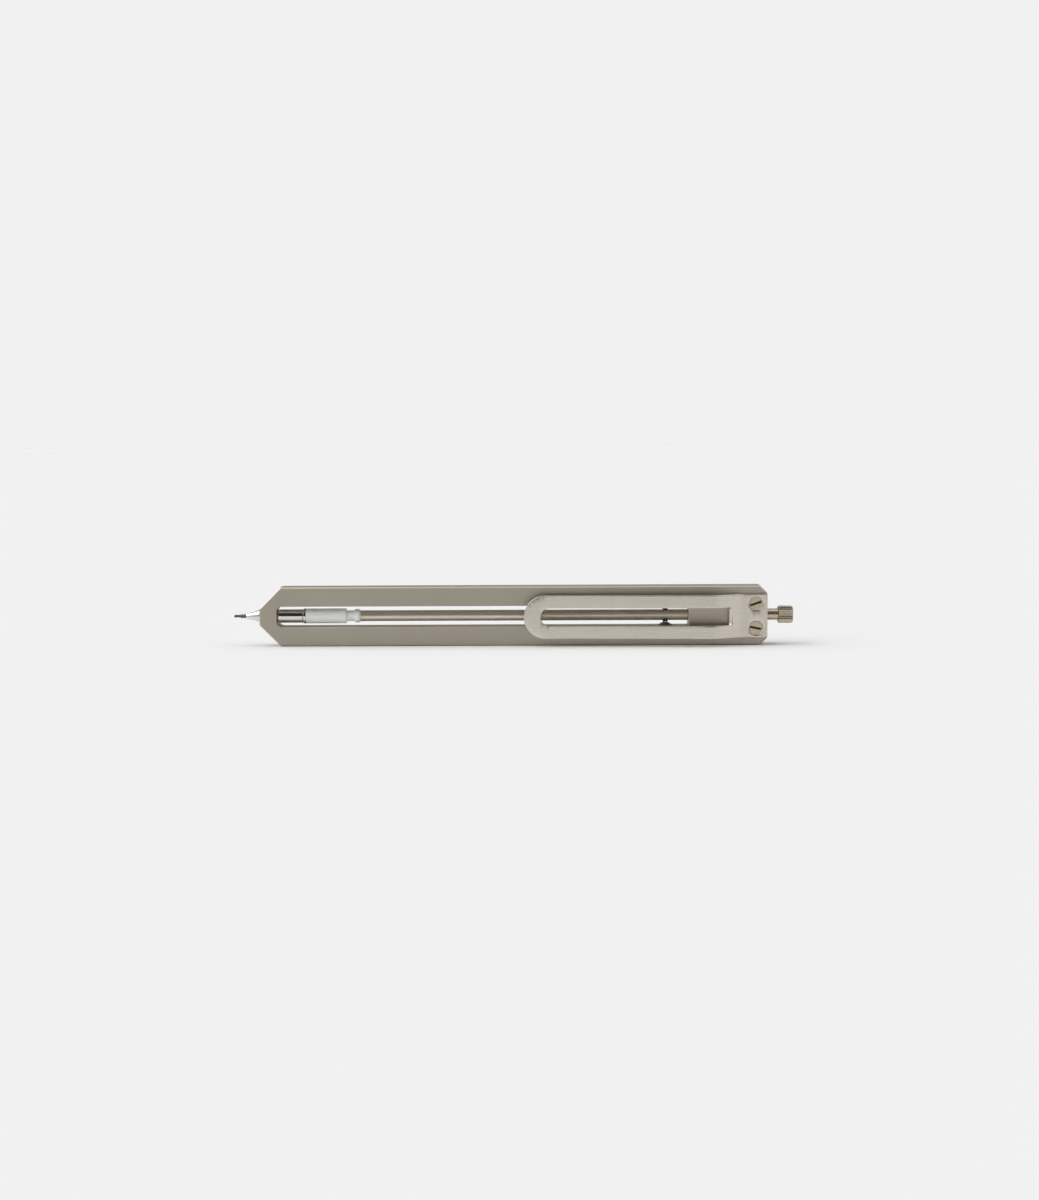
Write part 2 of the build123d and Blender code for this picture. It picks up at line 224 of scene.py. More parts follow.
# Polished stainless: nearly a mirror, with the faintest rings left by the lathe.
polished_steel, tree, shader = new_finish(
    "polished_steel", Metallic=1.0, Base_Color=colour("e2e0dc"), Roughness=0.12,
)
place = add_node(tree, "ShaderNodeTexCoord")
along = add_node(tree, "ShaderNodeSeparateXYZ", links={"Vector": place.outputs["Object"]})
rings = add_node(
    tree, "ShaderNodeTexNoise", {"Scale": 1 / turning_marks, "Detail": 2.0, "Roughness": 0.5},
    {"W": along.outputs["X"]}, noise_dimensions="1D",
)
relief = add_node(
    tree, "ShaderNodeBump", {"Strength": 0.05, "Distance": turning_depth}, {"Height": rings.outputs["Fac"]},
)
tree.links.new(relief.outputs["Normal"], shader.inputs["Normal"])

cone_front, cone_rear, cone_r = extent("nose_cone")
sleeve_front, sleeve_rear, sleeve_r = extent("lead_sleeve")
cone = bmesh.new()
turn(cone, [
    (cone_front, cone_bore_r),
    (cone_front, cone_front_r),
    (cone_waist, cone_waist_r),
    (bar_low.x - cone_rim, cone_r),
    (bar_low.x, cone_r),
    (bar_low.x, shank_r),
    (cone_rear, shank_r),
    (cone_rear, shank_bore_r),
    (bush_seat, shank_bore_r),
    (bush_seat, guide_bore_r),
    (sleeve_rear, guide_bore_r),
    (sleeve_rear, cone_bore_r),
])
soften(cone, cone_edge_round, steps=3, sharp=low_corner)
settle(cone, "tip_cone", polished_steel, "frame", ["nose_cone"])

# Drawn stainless tube: duller than the cone, with fine lines along its length.
sleeve_steel, tree, shader = new_finish(
    "sleeve_steel", Metallic=1.0, Base_Color=colour("6f6a63"), Roughness=0.3,
)
place = add_node(tree, "ShaderNodeTexCoord")
drawn = add_node(tree, "ShaderNodeMapping", links={"Vector": place.outputs["Object"]})
drawn.inputs["Scale"].default_value = (1 / sleeve_lines[0], 1 / sleeve_lines[1], 1 / sleeve_lines[1])
lines = add_node(
    tree, "ShaderNodeTexNoise", {"Scale": 1.0, "Detail": 2.0}, {"Vector": drawn.outputs["Vector"]},
)
relief = add_node(
    tree, "ShaderNodeBump", {"Strength": 0.2, "Distance": sleeve_line_depth},
    {"Height": lines.outputs["Fac"]},
)
tree.links.new(relief.outputs["Normal"], shader.inputs["Normal"])

sleeve = bmesh.new()
turn(sleeve, [
    (sleeve_front, sleeve_bore_r),
    (sleeve_front, sleeve_r),
    (sleeve_rear, sleeve_r),
    (sleeve_rear, sleeve_bore_r),
], steps=thin_steps)
soften(sleeve, sleeve_edge_round)
settle(sleeve, "guide_sleeve", sleeve_steel, "frame", ["lead_sleeve"])

# Moulded rubber: near black and dull.
moulded_rubber, tree, shader = new_finish("moulded_rubber", Roughness=0.75)
place = add_node(tree, "ShaderNodeTexCoord")
mottle = add_node(
    tree, "ShaderNodeTexNoise", {"Scale": 1 / rubber_mottle}, {"Vector": place.outputs["Object"]},
)
tint = add_node(tree, "ShaderNodeMix", links={0: mottle.outputs["Fac"]}, data_type="RGBA")
tint.inputs[6].default_value = colour("1c1c1c")
tint.inputs[7].default_value = colour("2b2b2a")
tree.links.new(tint.outputs[2], shader.inputs["Base Color"])
give_finish("lead_retainer", moulded_rubber)

# Graphite lead: dark grey with a soft sheen, a little darker and lighter in specks.
graphite, tree, shader = new_finish("graphite", Roughness=0.38)
shader.inputs["IOR"].default_value = 2.0
place = add_node(tree, "ShaderNodeTexCoord")
specks = add_node(
    tree, "ShaderNodeTexNoise", {"Scale": 1 / lead_speck, "Detail": 3.0},
    {"Vector": place.outputs["Object"]},
)
tint = add_node(tree, "ShaderNodeMix", links={0: specks.outputs["Fac"]}, data_type="RGBA")
tint.inputs[6].default_value = colour("1d1c1b")
tint.inputs[7].default_value = colour("3a3835")
tree.links.new(tint.outputs[2], shader.inputs["Base Color"])
relief = add_node(
    tree, "ShaderNodeBump", {"Strength": 0.3, "Distance": lead_speck_depth},
    {"Height": specks.outputs["Fac"]},
)
tree.links.new(relief.outputs["Normal"], shader.inputs["Normal"])
give_finish("spare_leads", graphite)

lead_front, lead_rear, lead_r = extent("lead")
lead = bmesh.new()
turn(lead, [
    (lead_front, 0),
    (lead_front, lead_r - worn_tip),
    (lead_front + worn_tip, lead_r),
    (lead_rear, lead_r),
    (lead_rear, 0),
], closed=False, steps=thin_steps)
soften(lead, lead_edge_round)
settle(lead, "lead_stick", graphite, "stick", ["lead"])

# ---------------------------------------------------------------------------------------------
# Clutch: a chrome-plated ferrule on the cone's shank, closed by a turned collar. In it a brass
# ring slides on a brass chuck, slit into three jaws, that grips the lead.
# ---------------------------------------------------------------------------------------------
ferrule_round = 0.3 * mm
chamber_r = 1.45 * mm
chamber_step = -57.5 * mm
collar_front_bevel = 0.28 * mm
collar_rear_bevel = 0.1 * mm
ferrule_edge_round = 0.05 * mm
collar_edge_round = 0.02 * mm
plate_scuff = 0.6 * mm
brass_marks = 0.1 * mm
brass_depth = 0.01 * mm
fine_steps = 128

# Bright chrome plate: a mirror with a slightly warm grey, hazed a little by fine scuffs.
chrome_plate, tree, shader = new_finish("chrome_plate", Metallic=1.0, Base_Color=colour("dcdad7"))
place = add_node(tree, "ShaderNodeTexCoord")
scuffs = add_node(
    tree, "ShaderNodeTexNoise", {"Scale": 1 / plate_scuff, "Detail": 4.0},
    {"Vector": place.outputs["Object"]},
)
haze = add_node(
    tree, "ShaderNodeMapRange", {"From Min": 0.35, "From Max": 0.7, "To Min": 0.05, "To Max": 0.11},
    {"Value": scuffs.outputs["Fac"]},
)
tree.links.new(haze.outputs["Result"], shader.inputs["Roughness"])

ferrule_front, ferrule_rear, ferrule_r = extent("ferrule")
ferrule = bmesh.new()
turn(ferrule, [
    (ferrule_front, shank_r),
    (ferrule_front, ferrule_r - ferrule_round),
    (ferrule_front + ferrule_round * (1 - cos(pi / 4)), ferrule_r - ferrule_round * (1 - sin(pi / 4))),
    (ferrule_front + ferrule_round, ferrule_r),
    (ferrule_rear, ferrule_r),
    (ferrule_rear, chamber_r),
    (chamber_step, chamber_r),
    (chamber_step, shank_r),
], steps=fine_steps)
soften(ferrule, ferrule_edge_round, steps=3, sharp=low_corner)
settle(ferrule, "plated_ferrule", chrome_plate, "frame", ["ferrule"])

collar_front, collar_rear, collar_r = extent("collar")
collar = bmesh.new()
turn(collar, [
    (collar_front, chamber_r),
    (collar_front, collar_r - collar_front_bevel),
    (collar_front + collar_front_bevel, collar_r),
    (collar_rear - collar_rear_bevel, collar_r),
    (collar_rear, collar_r - collar_rear_bevel),
    (collar_rear, chamber_r),
], steps=fine_steps)
soften(collar, collar_edge_round)
settle(collar, "locking_collar", chrome_plate, "frame", ["collar"])

# Turned brass: yellow, satin, ringed by the tool.
turned_brass, tree, shader = new_finish(
    "turned_brass", Metallic=1.0, Base_Color=colour("d9b45e"), Roughness=0.25,
)
place = add_node(tree, "ShaderNodeTexCoord")
along = add_node(tree, "ShaderNodeSeparateXYZ", links={"Vector": place.outputs["Object"]})
rings = add_node(
    tree, "ShaderNodeTexNoise", {"Scale": 1 / brass_marks, "Detail": 2.0}, {"W": along.outputs["X"]},
    noise_dimensions="1D",
)
relief = add_node(
    tree, "ShaderNodeBump", {"Strength": 0.2, "Distance": brass_depth}, {"Height": rings.outputs["Fac"]},
)
tree.links.new(relief.outputs["Normal"], shader.inputs["Normal"])
give_finish("clutch_ring", turned_brass)
give_finish("chuck", turned_brass)

# ---------------------------------------------------------------------------------------------
# Barrel and coupling: two acetal mouldings, milky and slightly see-through. The barrel plugs
# into the ferrule. The coupling joins the chuck's tail to the lead tube and stops its stroke.
# ---------------------------------------------------------------------------------------------
barrel_spigot_r = 1.44 * mm
barrel_throat_r = 0.82 * mm
barrel_cavity_r = 1.5 * mm
barrel_cavity_front = -52.6 * mm
coupling_r = 1.4 * mm
coupling_socket_r = 0.76 * mm
socket_end = -41.0 * mm
flange_front = -40.7 * mm
flange_rear = -39.25 * mm
flange_bevel = 0.5 * mm
coupling_spigot_r = 1.15 * mm
funnel_r = 0.95 * mm
funnel_front = -40.0 * mm
funnel_rear = -38.5 * mm
tube_r = extent("lead_tube")[2]
barrel_edge_round = 0.08 * mm
coupling_edge_round = 0.06 * mm
flow_marks = (6 * mm, 0.8 * mm)
light_reach = 0.5 * mm

# Milky acetal: light spreads inside it, so its shaded side stays pale, with faint flow marks. The
# faint glow stands for the light that a thin wall lets through from behind.
milky_acetal, tree, shader = new_finish(
    "milky_acetal", Roughness=0.35, IOR=1.48, Subsurface_Weight=1.0, Subsurface_Scale=light_reach,
    Emission_Color=colour("f4f8f6"), Emission_Strength=0.05,
)
shader.inputs["Subsurface Radius"].default_value = (1.0, 1.0, 0.9)
place = add_node(tree, "ShaderNodeTexCoord")
stretch = add_node(tree, "ShaderNodeMapping", links={"Vector": place.outputs["Object"]})
stretch.inputs["Scale"].default_value = (1 / flow_marks[0], 1 / flow_marks[1], 1 / flow_marks[1])
flow = add_node(
    tree, "ShaderNodeTexNoise", {"Scale": 1.0, "Detail": 3.0}, {"Vector": stretch.outputs["Vector"]},
)
tint = add_node(tree, "ShaderNodeMix", links={0: flow.outputs["Fac"]}, data_type="RGBA")
tint.inputs[6].default_value = colour("eff4ef")
tint.inputs[7].default_value = colour("f8fcf8")
tree.links.new(tint.outputs[2], shader.inputs["Base Color"])

barrel_front, barrel_rear, barrel_r = extent("spring_barrel")
barrel = bmesh.new()
turn(barrel, [
    (barrel_front, barrel_throat_r),
    (barrel_front, barrel_spigot_r),
    (collar_rear, barrel_spigot_r),
    (collar_rear, barrel_r),
    (barrel_rear, barrel_r),
    (barrel_rear, barrel_cavity_r),
    (barrel_cavity_front, barrel_cavity_r),
    (barrel_cavity_front, barrel_throat_r),
], steps=fine_steps)
soften(barrel, barrel_edge_round, steps=3)
settle(barrel, "milky_barrel", milky_acetal, "frame", ["spring_barrel"])

coupling_front, coupling_rear, flange_r = extent("tube_coupling")
coupling = bmesh.new()
turn(coupling, [
    (coupling_front, coupling_socket_r),
    (coupling_front, coupling_r),
    (flange_front, coupling_r),
    (flange_front, flange_r),
    (flange_rear - flange_bevel, flange_r),
    (flange_rear, tube_r),
    (flange_rear, coupling_spigot_r),
    (coupling_rear, coupling_spigot_r),
    (coupling_rear, funnel_r),
    (funnel_rear, funnel_r),
    (funnel_front, guide_bore_r),
    (socket_end, guide_bore_r),
    (socket_end, coupling_socket_r),
], steps=fine_steps)
soften(coupling, coupling_edge_round)
settle(coupling, "milky_coupling", milky_acetal, "pusher", ["tube_coupling"])

# ---------------------------------------------------------------------------------------------
# Chuck spring: bright spring wire, coiled with a closed turn at each end. It sits round the
# chuck's tail, between the barrel's front wall and the coupling.
# ---------------------------------------------------------------------------------------------
spring_r = 1.15 * mm
wire_r = 0.14 * mm
open_turns = 7
closed_pitch = 2 * wire_r
steps_per_turn = 40
wire_sides = 10
wire_wear = 0.5 * mm

# Spring wire: drawn smooth and bright, a little dulled where the coils were handled.
spring_steel, tree, shader = new_finish("spring_steel", Metallic=1.0, Base_Color=colour("c9c6bf"))
place = add_node(tree, "ShaderNodeTexCoord")
wear = add_node(tree, "ShaderNodeTexNoise", {"Scale": 1 / wire_wear}, {"Vector": place.outputs["Object"]})
dull = add_node(
    tree, "ShaderNodeMapRange", {"From Min": 0.3, "From Max": 0.7, "To Min": 0.22, "To Max": 0.36},
    {"Value": wear.outputs["Fac"]},
)
tree.links.new(dull.outputs["Result"], shader.inputs["Roughness"])

spring_front, spring_rear, _ = extent("chuck_spring")
open_pitch = (spring_rear - spring_front - 2 * closed_pitch - 2 * wire_r) / open_turns
spring = bmesh.new()
bmesh.ops.create_circle(spring, segments=wire_sides, radius=wire_r, cap_ends=True)
bmesh.ops.rotate(spring, verts=spring.verts, cent=(0, 0, 0), matrix=Euler((pi / 2, 0, 0)).to_matrix())
bmesh.ops.translate(spring, verts=spring.verts, vec=(spring_front + wire_r, 0, axis_z + spring_r))
end_ring = list(spring.faces)
for turns, pitch in ((1, closed_pitch), (open_turns, open_pitch), (1, closed_pitch)):
    steps = turns * steps_per_turn
    swept = bmesh.ops.spin(
        spring, geom=end_ring, cent=(0, 0, axis_z), axis=(1, 0, 0), dvec=(pitch / steps_per_turn, 0, 0),
        angle=2 * pi * turns, steps=steps,
    )
    end_ring = [g for g in swept["geom_last"] if isinstance(g, bmesh.types.BMFace)]
bmesh.ops.remove_doubles(spring, verts=spring.verts, dist=weld_reach)
bmesh.ops.recalc_face_normals(spring, faces=spring.faces)
spring = settle(spring, "coil_spring", spring_steel, "frame", ["chuck_spring"])
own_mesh(spring)

# ---------------------------------------------------------------------------------------------
# Lead tube: drawn brass, nickel plated and buffed along its length. A black-oxide snap ring sits
# in its groove, with its open side towards the clip. A small tapered foot, turned from steel,
# stands below the ring on the slot's lower wall.
# ---------------------------------------------------------------------------------------------
tube_bore_r = 1.2 * mm
groove_r = 1.34 * mm
groove_front = 38.6 * mm
groove_rear = 39.9 * mm
tube_edge_round = 0.03 * mm
ring_edge_round = 0.04 * mm
rest_edge_round = 0.05 * mm
tube_lines = (25 * mm, 0.12 * mm)
tube_line_depth = 0.01 * mm
tarnish_patch = 12 * mm
oxide_wear = 0.4 * mm
rest_mottle = 0.3 * mm

# Nickel plate on drawn brass: warm and silky, with long fine lines and slow changes of tarnish.
nickel_tube, tree, shader = new_finish("nickel_tube", Metallic=1.0)
place = add_node(tree, "ShaderNodeTexCoord")
drawn = add_node(tree, "ShaderNodeMapping", links={"Vector": place.outputs["Object"]})
drawn.inputs["Scale"].default_value = (1 / tube_lines[0], 1 / tube_lines[1], 1 / tube_lines[1])
lines = add_node(
    tree, "ShaderNodeTexNoise", {"Scale": 1.0, "Detail": 3.0, "Roughness": 0.6},
    {"Vector": drawn.outputs["Vector"]},
)
tarnish = add_node(
    tree, "ShaderNodeTexNoise", {"Scale": 1 / tarnish_patch, "Detail": 2.0},
    {"Vector": place.outputs["Object"]},
)
tint = add_node(tree, "ShaderNodeMix", links={0: tarnish.outputs["Fac"]}, data_type="RGBA")
tint.inputs[6].default_value = colour("dcd3c2")
tint.inputs[7].default_value = colour("e4dccd")
dull = add_node(
    tree, "ShaderNodeMapRange", {"From Min": 0.3, "From Max": 0.7, "To Min": 0.38, "To Max": 0.5},
    {"Value": lines.outputs["Fac"]},
)
relief = add_node(
    tree, "ShaderNodeBump", {"Strength": 0.2, "Distance": tube_line_depth},
    {"Height": lines.outputs["Fac"]},
)
tree.links.new(tint.outputs[2], shader.inputs["Base Color"])
tree.links.new(dull.outputs["Result"], shader.inputs["Roughness"])
tree.links.new(relief.outputs["Normal"], shader.inputs["Normal"])

tube_front, tube_rear, _ = extent("lead_tube")
tube = bmesh.new()
turn(tube, [
    (tube_front, tube_bore_r),
    (tube_front, tube_r),
    (groove_front, tube_r),
    (groove_front, groove_r),
    (groove_rear, groove_r),
    (groove_rear, tube_r),
    (tube_rear, tube_r),
    (tube_rear, tube_bore_r),
], steps=fine_steps)
soften(tube, tube_edge_round)
settle(tube, "plated_tube", nickel_tube, "pusher", ["lead_tube"])

# Black oxide on spring steel: a thin dark skin with a low sheen, uneven where it has rubbed.
black_oxide, tree, shader = new_finish("black_oxide", Metallic=0.6, Base_Color=colour("24211e"))
place = add_node(tree, "ShaderNodeTexCoord")
wear = add_node(tree, "ShaderNodeTexNoise", {"Scale": 1 / oxide_wear}, {"Vector": place.outputs["Object"]})
dull = add_node(
    tree, "ShaderNodeMapRange", {"From Min": 0.3, "From Max": 0.7, "To Min": 0.3, "To Max": 0.5},
    {"Value": wear.outputs["Fac"]},
)
tree.links.new(dull.outputs["Result"], shader.inputs["Roughness"])
softened_copy("snap_ring", "black_snap_ring", black_oxide, "pusher", ring_edge_round)

# Turned steel, left dull and a little uneven: the small foot below the snap ring.
rest_steel, tree, shader = new_finish("rest_steel", Metallic=1.0, Base_Color=colour("8a8275"))
place = add_node(tree, "ShaderNodeTexCoord")
mottle = add_node(tree, "ShaderNodeTexNoise", {"Scale": 1 / rest_mottle}, {"Vector": place.outputs["Object"]})
dull = add_node(
    tree, "ShaderNodeMapRange", {"From Min": 0.3, "From Max": 0.7, "To Min": 0.35, "To Max": 0.5},
    {"Value": mottle.outputs["Fac"]},
)
tree.links.new(dull.outputs["Result"], shader.inputs["Roughness"])
softened_copy("tube_rest", "tapered_rest", rest_steel, "frame", rest_edge_round)

# ---------------------------------------------------------------------------------------------
# Push knob: one turned stainless piece with a straight knurl, a smooth neck and a plug with a
# rubber ring that holds it in the tube.
# ---------------------------------------------------------------------------------------------
knurls = 24
knurl_depth = 0.2 * mm
crest_pinch = 0.1
knob_bevel = 0.3 * mm
neck_r = 1.475 * mm
plug_r = 1.1 * mm
plug_groove = (56.5 * mm, 57.1 * mm)
plug_groove_r = 0.75 * mm
knob_front = 68.1 * mm
knob_edge_round = 0.05 * mm
knob_marks = 0.1 * mm
knob_mark_depth = 0.01 * mm

# Turned stainless, a little warm: satin, with fine rings left by the tool.
knob_steel, tree, shader = new_finish("knob_steel", Metallic=1.0, Base_Color=colour("c4b9a5"))
place = add_node(tree, "ShaderNodeTexCoord")
along = add_node(tree, "ShaderNodeSeparateXYZ", links={"Vector": place.outputs["Object"]})
rings = add_node(
    tree, "ShaderNodeTexNoise", {"Scale": 1 / knob_marks, "Detail": 2.0}, {"W": along.outputs["X"]},
    noise_dimensions="1D",
)
dull = add_node(
    tree, "ShaderNodeMapRange", {"From Min": 0.3, "From Max": 0.7, "To Min": 0.26, "To Max": 0.4},
    {"Value": rings.outputs["Fac"]},
)
relief = add_node(
    tree, "ShaderNodeBump", {"Strength": 0.2, "Distance": knob_mark_depth},
    {"Height": rings.outputs["Fac"]},
)
tree.links.new(dull.outputs["Result"], shader.inputs["Roughness"])
tree.links.new(relief.outputs["Normal"], shader.inputs["Normal"])

plug_front, knob_rear, knob_r = extent("knob")
knob = bmesh.new()
turn(knob, [
    (plug_front, 0),
    (plug_front, plug_r),
    (plug_groove[0], plug_r),
    (plug_groove[0], plug_groove_r),
    (plug_groove[1], plug_groove_r),
    (plug_groove[1], plug_r),
    (tube_rear, plug_r),
    (tube_rear, neck_r),
    (knob_front + knob_bevel, neck_r),
    (knob_front + knob_bevel, 0),
], closed=False)
soften(knob, knob_edge_round)

# The head is a knurled rim, drawn out along the bar, bevelled at both ends and closed. Each ridge
# has two crest points, pinched together a little, and two root points: (height, shift).
ridge = ((1.0, crest_pinch), (1.0, -crest_pinch), (0.0, 0.0), (0.0, 0.0))
rim_steps = len(ridge) * knurls
bevel_scale = (knob_r - knob_bevel) / knob_r
rim = []
for step in range(rim_steps):
    height, shift = ridge[step % len(ridge)]
    reach = (knob_r - knurl_depth * (1 - height)) * bevel_scale
    around = 2 * pi * (step + shift) / rim_steps
    rim.append(knob.verts.new((knob_front, reach * sin(around), axis_z + reach * cos(around))))
rim_edges = [knob.edges.new((rim[i - 1], rim[i])) for i in range(rim_steps)]
bmesh.ops.edgeloop_fill(knob, edges=rim_edges)
stretches = (
    (knob_bevel, 1 / bevel_scale),
    (knob_rear - knob_front - 2 * knob_bevel, 1.0),
    (knob_bevel, bevel_scale),
)
for advance, widen in stretches:
    pulled = bmesh.ops.extrude_edge_only(knob, edges=rim_edges)["geom"]
    rim = [g for g in pulled if isinstance(g, bmesh.types.BMVert)]
    rim_edges = [g for g in pulled if isinstance(g, bmesh.types.BMEdge) and g.is_boundary]
    bmesh.ops.translate(knob, verts=rim, vec=(advance, 0, 0))
    bmesh.ops.scale(knob, verts=rim, vec=(1, widen, widen), space=Matrix.Translation((0, 0, -axis_z)))
bmesh.ops.edgeloop_fill(knob, edges=rim_edges)
bmesh.ops.recalc_face_normals(knob, faces=knob.faces)
settle(knob, "knurled_knob", knob_steel, "knob", ["knob"])
give_finish("grip_ring", moulded_rubber)

# ---------------------------------------------------------------------------------------------
# Pocket clip: one titanium strip, cut out with its slot and holes, brushed along its length and
# bent. Two slotted countersunk screws hold its foot.
# ---------------------------------------------------------------------------------------------
foot_low, foot_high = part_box("clip_foot")
arm_low, arm_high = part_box("clip_arm")
clip_thick = foot_high.y - foot_low.y
clip_half = (arm_high.z - arm_low.z) / 2
clip_tip = arm_low.x
clip_middle_y = (foot_low.y + foot_high.y) / 2
clip_end = foot_high.x
ramp_foot = 58.5 * mm
ramp_top = 51.7 * mm
ramp_rise = 3.4 * mm
dip_x = 14.0 * mm
dip_rise = 1.8 * mm
tip_rise = 2.1 * mm
sharp_bend_r = 4.0 * mm
dip_bend_r = 30.0 * mm
window_front = 7.2 * mm
window_rear = 55.4 * mm
window_half = 2.25 * mm
window_corner = 0.3 * mm
window_lean = 0.4 * mm
screw_x = 62.2 * mm
screw_spacing = 6.3 * mm
seat_r = 1.9 * mm
clearance_r = 1.05 * mm
clip_edge_round = 0.16 * mm
screw_edge_round = 0.03 * mm
brush_lines = (9 * mm, 0.5 * mm, 0.11 * mm)
brush_depth = 0.012 * mm
brush_cloud = 9 * mm
screw_mottle = 0.5 * mm
shade_and_grime_speck = 0.2 * mm
shade_and_grime_depth = 0.06 * mm
round_points = 48
window_points = 32
even_cuts = 60
bend_cuts = 60
bend_margin = 10
nudge = 0.01 * mm

# Brushed titanium: long fine scratches, brighter than the bar and a little uneven along its length.
# The scratches are drawn wider than they are, so that they still show.
brushed_titanium, tree, shader = new_finish("brushed_titanium", Metallic=1.0)
place = add_node(tree, "ShaderNodeTexCoord")
brushed = add_node(tree, "ShaderNodeMapping", links={"Vector": place.outputs["Object"]})
brushed.inputs["Scale"].default_value = [1 / size for size in brush_lines]
lines = add_node(
    tree, "ShaderNodeTexNoise", {"Scale": 1.0, "Detail": 4.0, "Roughness": 0.65},
    {"Vector": brushed.outputs["Vector"]},
)
cloud = add_node(
    tree, "ShaderNodeTexNoise", {"Scale": 1 / brush_cloud, "Detail": 2.0},
    {"Vector": place.outputs["Object"]},
)
tint = add_node(tree, "ShaderNodeMix", links={0: cloud.outputs["Fac"]}, data_type="RGBA")
tint.inputs[6].default_value = colour("d6cec1")
tint.inputs[7].default_value = colour("ddd6ca")
dull = add_node(
    tree, "ShaderNodeMapRange", {"From Min": 0.3, "From Max": 0.7, "To Min": 0.24, "To Max": 0.36},
    {"Value": lines.outputs["Fac"]},
)
relief = add_node(
    tree, "ShaderNodeBump", {"Strength": 0.22, "Distance": brush_depth}, {"Height": lines.outputs["Fac"]},
)
tree.links.new(tint.outputs[2], shader.inputs["Base Color"])
tree.links.new(dull.outputs["Result"], shader.inputs["Roughness"])
tree.links.new(relief.outputs["Normal"], shader.inputs["Normal"])


def ring_points(centre_x, centre_z, radius, count):
    """Points round a hole."""
    angles = [2 * pi * i / count for i in range(count)]
    return [(centre_x + radius * cos(angle), centre_z + radius * sin(angle)) for angle in angles]


def half_round(centre_x, radius, count):
    """Points round the front half of a circle on the centre line, from its top to its bottom."""
    angles = [pi * i / count for i in range(count + 1)]
    return [(centre_x - radius * sin(angle), axis_z + radius * cos(angle)) for angle in angles]


def clip_rise(x):
    """How far the strip's middle line stands off its foot at a place along the bar."""
    slopes = (
        0,
        ramp_rise / (ramp_foot - ramp_top),
        (dip_rise - ramp_rise) / (ramp_top - dip_x),
        (tip_rise - dip_rise) / (dip_x - clip_tip),
    )
    rise = 0
    for corner, radius, before, after in (
        (ramp_foot, sharp_bend_r, slopes[0], slopes[1]),
        (ramp_top, sharp_bend_r, slopes[1], slopes[2]),
        (dip_x, dip_bend_r, slopes[2], slopes[3]),
    ):
        reach = radius * abs(after - before) / 2
        past = corner - x
        if past > reach:
            rise += (after - before) * past
        elif past > -reach:
            rise += (after - before) * (past + reach) ** 2 / (4 * reach)
    return rise


# The flat strip: its outline, window and two holes on each side, filled, joined and softened. The
# holes are wider on the outer side, for the screws' heads.
outline = [
    (clip_end, axis_z + clip_half),
    *half_round(clip_tip + clip_half, clip_half, round_points),
    (clip_end, axis_z - clip_half),
]
clip = bmesh.new()
loops = []
for side, hole_r, rear in ((-1, seat_r, window_rear + window_lean), (1, clearance_r, window_rear)):
    holes = [ring_points(screw_x, axis_z + end * screw_spacing / 2, hole_r, round_points) for end in (-1, 1)]
    window = [
        *half_round(window_front + window_half, window_half, window_points),
        (rear - window_corner, axis_z - window_half),
        (rear, axis_z - window_half + window_corner),
        (rear, axis_z + window_half - window_corner),
        (rear - window_corner, axis_z + window_half),
    ]
    made = []
    for path in (outline, window, *holes):
        points = [clip.verts.new((x, side * clip_thick / 2, z)) for x, z in path]
        made.append([clip.edges.new((points[i - 1], points[i])) for i in range(len(points))])
    bmesh.ops.triangle_fill(clip, use_beauty=True, edges=[e for loop in made for e in loop])
    loops.append(made)
for front_loop, back_loop in zip(*loops):
    bmesh.ops.bridge_loops(clip, edges=front_loop + back_loop)
bmesh.ops.recalc_face_normals(clip, faces=clip.faces)
soften(clip, clip_edge_round, steps=3, sharp=40)

# Cuts across the strip, closer together at its bends, so that it can take its bent shape.
stations = [clip_tip + (clip_end - clip_tip) * i / even_cuts for i in range(1, even_cuts)]
bend_range = range(-bend_margin, bend_cuts + bend_margin + 1)
stations += [ramp_top + (ramp_foot - ramp_top) * i / bend_cuts for i in bend_range]
for x in stations:
    bmesh.ops.bisect_plane(
        clip, geom=clip.verts[:] + clip.edges[:] + clip.faces[:], dist=0.1 * weld_reach,
        plane_co=(x, 0, 0), plane_no=(1, 0, 0),
    )
for point in clip.verts:
    x, out, z = point.co
    slope = (clip_rise(x + nudge) - clip_rise(x - nudge)) / (2 * nudge)
    square = (1 + slope * slope) ** 0.5
    point.co = (x + out * slope / square, clip_middle_y - clip_rise(x) + out / square, z)
clip = settle(clip, "pocket_clip", brushed_titanium, None, ["clip_foot", "clip_arm"])
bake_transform(clip)

# Turned screw steel: warm and satin, dulled unevenly by handling.
screw_steel, tree, shader = new_finish("screw_steel", Metallic=1.0)
place = add_node(tree, "ShaderNodeTexCoord")
mottle = add_node(
    tree, "ShaderNodeTexNoise", {"Scale": 1 / screw_mottle, "Detail": 4.0},
    {"Vector": place.outputs["Object"]},
)
tint = add_node(tree, "ShaderNodeMix", links={0: mottle.outputs["Fac"]}, data_type="RGBA")
tint.inputs[6].default_value = colour("c3b39a")
tint.inputs[7].default_value = colour("d6c9b3")
dull = add_node(
    tree, "ShaderNodeMapRange", {"From Min": 0.3, "From Max": 0.7, "To Min": 0.26, "To Max": 0.4},
    {"Value": mottle.outputs["Fac"]},
)
tree.links.new(tint.outputs[2], shader.inputs["Base Color"])
tree.links.new(dull.outputs["Result"], shader.inputs["Roughness"])
screws = softened_copy(
    "clip_screws", "slotted_screws", screw_steel, "frame", screw_edge_round,
)
